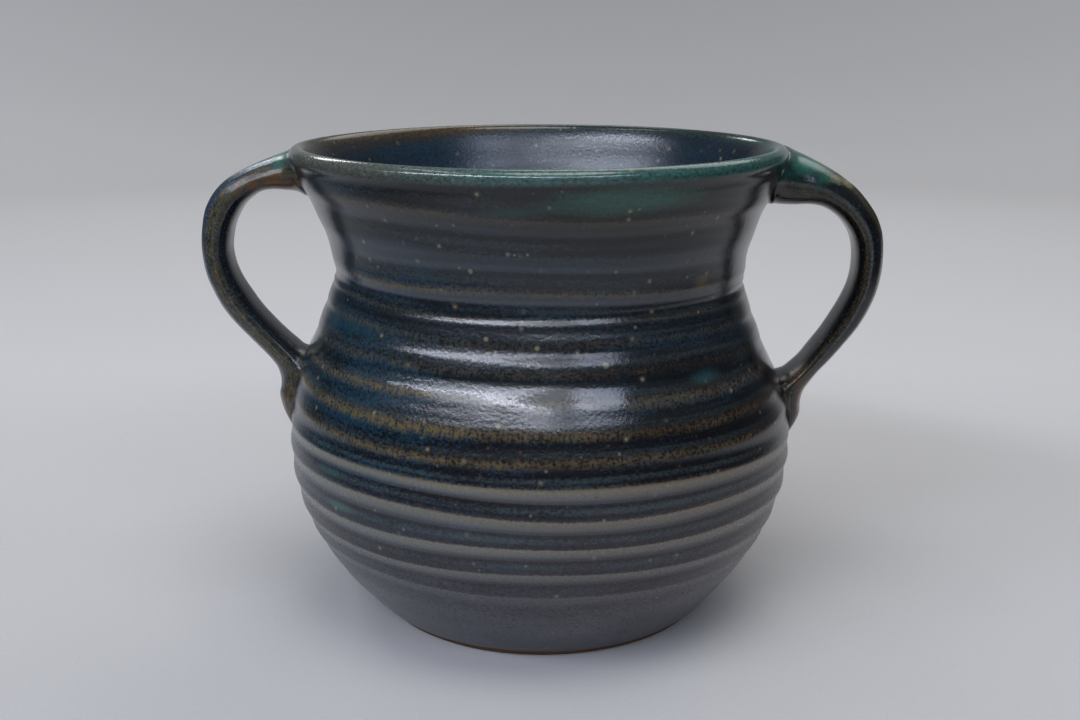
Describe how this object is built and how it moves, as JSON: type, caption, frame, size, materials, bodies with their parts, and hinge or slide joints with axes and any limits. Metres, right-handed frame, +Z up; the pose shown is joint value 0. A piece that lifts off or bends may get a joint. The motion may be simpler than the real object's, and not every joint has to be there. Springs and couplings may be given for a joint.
{
  "type": "two-handled vase",
  "caption": "Squat round-bellied pottery vase with a waisted neck, rolled rim, two strap handles from rim to belly and a turned foot.",
  "frame": {"origin": "centre of the foot, on the surface the vase stands on", "axes": "+Z up along the pot's axis; +X towards the right-hand handle; the pictured front faces -Y"},
  "size_m": [0.1696, 0.1272, 0.117],
  "materials": {
    "body_glaze": "satin dark blue-black stoneware glaze breaking to ochre and grey on the throwing rings, with pale and rust specks",
    "handle_glaze": "the same glaze pooled thicker, breaking to ochre along the strap's ridges, with green runs near the rim",
    "luting_slip": "fired slip of the same clay, under the glaze"
  },
  "bodies": {
    "root": {"thrown_body": "body_glaze", "left_handle": "handle_glaze", "right_handle": "handle_glaze", "left_upper_luting": "luting_slip", "left_lower_luting": "luting_slip", "right_upper_luting": "luting_slip", "right_lower_luting": "luting_slip"}
  },
  "joints": []
}
